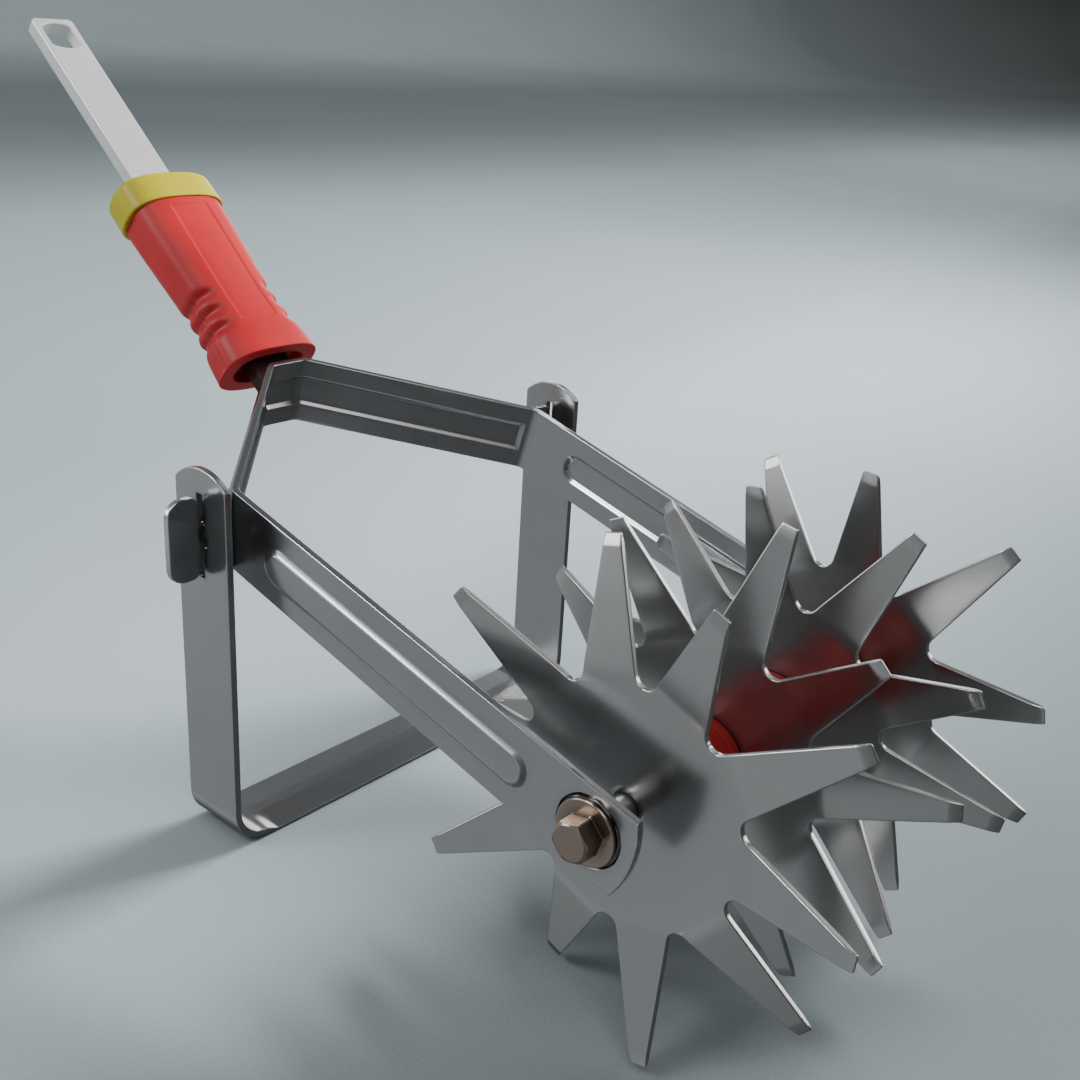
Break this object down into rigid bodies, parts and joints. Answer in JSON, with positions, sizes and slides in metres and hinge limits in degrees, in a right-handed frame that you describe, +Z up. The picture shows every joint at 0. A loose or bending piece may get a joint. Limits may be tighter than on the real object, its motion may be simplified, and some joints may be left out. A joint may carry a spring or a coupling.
{
  "type": "rotary hand cultivator head",
  "caption": "Hand cultivator head: spiked star wheels on an axle between two strap arms, a swinging U-shaped cutting blade behind them, and a grip with a flat plug-in tongue.",
  "frame": {"origin": "middle of the bounding box on the floor, below the frame; the axle lies at Y -0.1492 m, Z 0.0748 m", "axes": "+X to the user's left along the wheel axle, +Y from the wheels back to the tongue and the user, +Z up"},
  "size_m": [0.1968, 0.4482, 0.249],
  "materials": {
    "steel": "satin, tumbled steel",
    "spacer_steel": "plain turned steel",
    "tongue_steel": "pale satin",
    "red": "satin moulded plastic",
    "yellow": "satin moulded plastic",
    "bronze": "dark bronze-coloured plating"
  },
  "bodies": {
    "frame": {"yoke": "steel", "pivot_tab_right": "steel", "pivot_tab_left": "steel", "tongue": "tongue_steel", "grip_sleeve": "red", "collar_ring": "yellow", "axle_bolt": "bronze", "axle_nut": "bronze", "spacer_right": "spacer_steel", "spacer_left": "spacer_steel"},
    "star_1": {"star_wheel_1": "steel", "hub_1_inner": "red"},
    "star_2": {"star_wheel_2": "steel", "hub_2_outer": "red", "hub_2_inner": "red"},
    "star_3": {"star_wheel_3": "steel", "hub_3_inner": "red", "hub_3_outer": "red"},
    "star_4": {"star_wheel_4": "steel", "hub_4_inner": "red"},
    "stirrup": {"stirrup_blade": "steel"}
  },
  "joints": [
    {"name": "star_1_spin", "type": "hinge", "parent": "frame", "child": "star_1", "pos_m": [-0.0576, -0.14924, 0.07484], "axis": [1, 0, 0], "continuous": true},
    {"name": "star_2_spin", "type": "hinge", "parent": "frame", "child": "star_2", "pos_m": [-0.0192, -0.14924, 0.07484], "axis": [1, 0, 0], "continuous": true},
    {"name": "star_3_spin", "type": "hinge", "parent": "frame", "child": "star_3", "pos_m": [0.0192, -0.14924, 0.07484], "axis": [1, 0, 0], "continuous": true},
    {"name": "star_4_spin", "type": "hinge", "parent": "frame", "child": "star_4", "pos_m": [0.0576, -0.14924, 0.07484], "axis": [1, 0, 0], "continuous": true},
    {"name": "blade_swing", "type": "hinge", "parent": "frame", "child": "stirrup", "pos_m": [0, 0.00244, 0.11082], "axis": [1, 0, 0], "range_deg": [-25, 25]}
  ]
}
